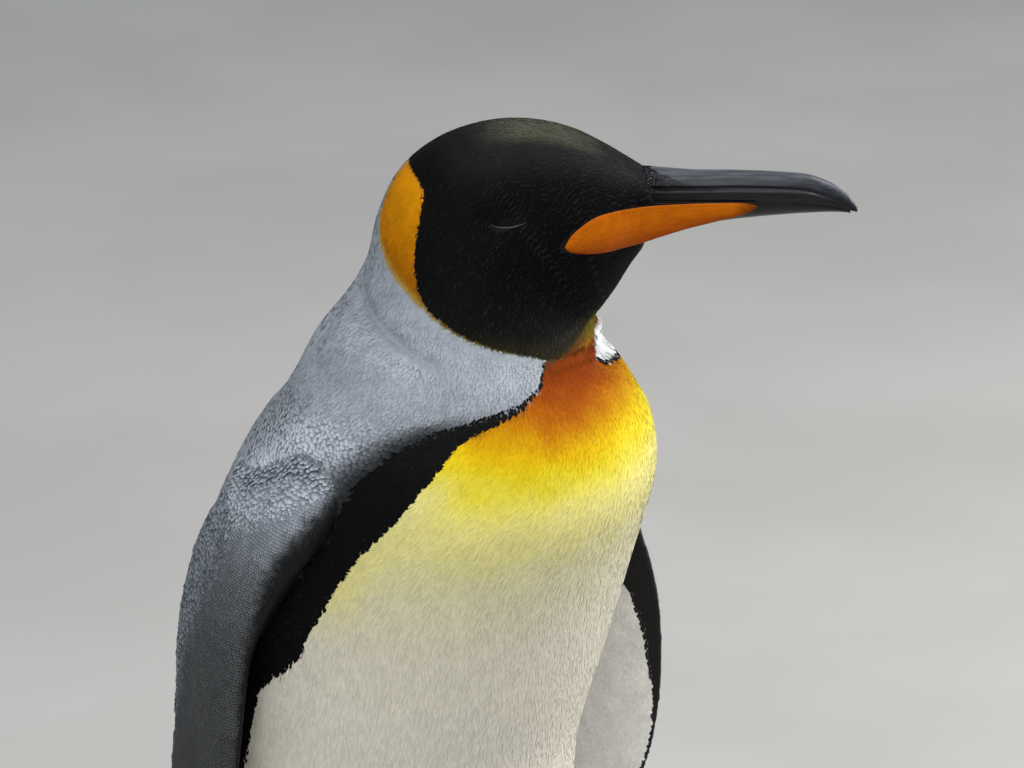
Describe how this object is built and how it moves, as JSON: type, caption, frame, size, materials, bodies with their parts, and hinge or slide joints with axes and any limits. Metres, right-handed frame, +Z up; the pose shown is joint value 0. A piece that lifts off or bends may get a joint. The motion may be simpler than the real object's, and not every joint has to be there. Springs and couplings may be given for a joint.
{
  "type": "king penguin",
  "caption": "Life-size still figure of a standing king penguin, neck drawn in and head turned to its left, for display.",
  "frame": {"origin": "middle of the bird's box on the ground plan, at floor level", "axes": "+Z up; the body faces -Y, so the bird's left is +X; the head is turned 43 degrees to its left"},
  "size_m": [0.3, 0.3682, 0.781],
  "materials": {
    "white_plumage": "soft",
    "silver_plumage": "soft sheen",
    "black_plumage": "soft sheen",
    "flipper_plumage": "smooth, scaly",
    "foot_skin": "scaly",
    "claw_horn": "satin",
    "bill_horn": "satin gloss",
    "plate_horn": "satin gloss",
    "eye": "wet gloss"
  },
  "bodies": {
    "root": {"trunk": "white_plumage", "neck": "silver_plumage", "head": "black_plumage", "tail": "black_plumage", "flipper_left": "flipper_plumage", "flipper_right": "flipper_plumage", "leg_left": "white_plumage", "leg_right": "white_plumage", "foot_left": "foot_skin", "foot_right": "foot_skin", "claw_left_inner": "claw_horn", "claw_left_middle": "claw_horn", "claw_left_outer": "claw_horn", "claw_right_inner": "claw_horn", "claw_right_middle": "claw_horn", "claw_right_outer": "claw_horn", "bill_upper": "bill_horn", "bill_lower": "bill_horn", "bill_plate_left": "plate_horn", "bill_plate_right": "plate_horn", "eye_left": "eye", "eye_right": "eye"}
  },
  "joints": []
}
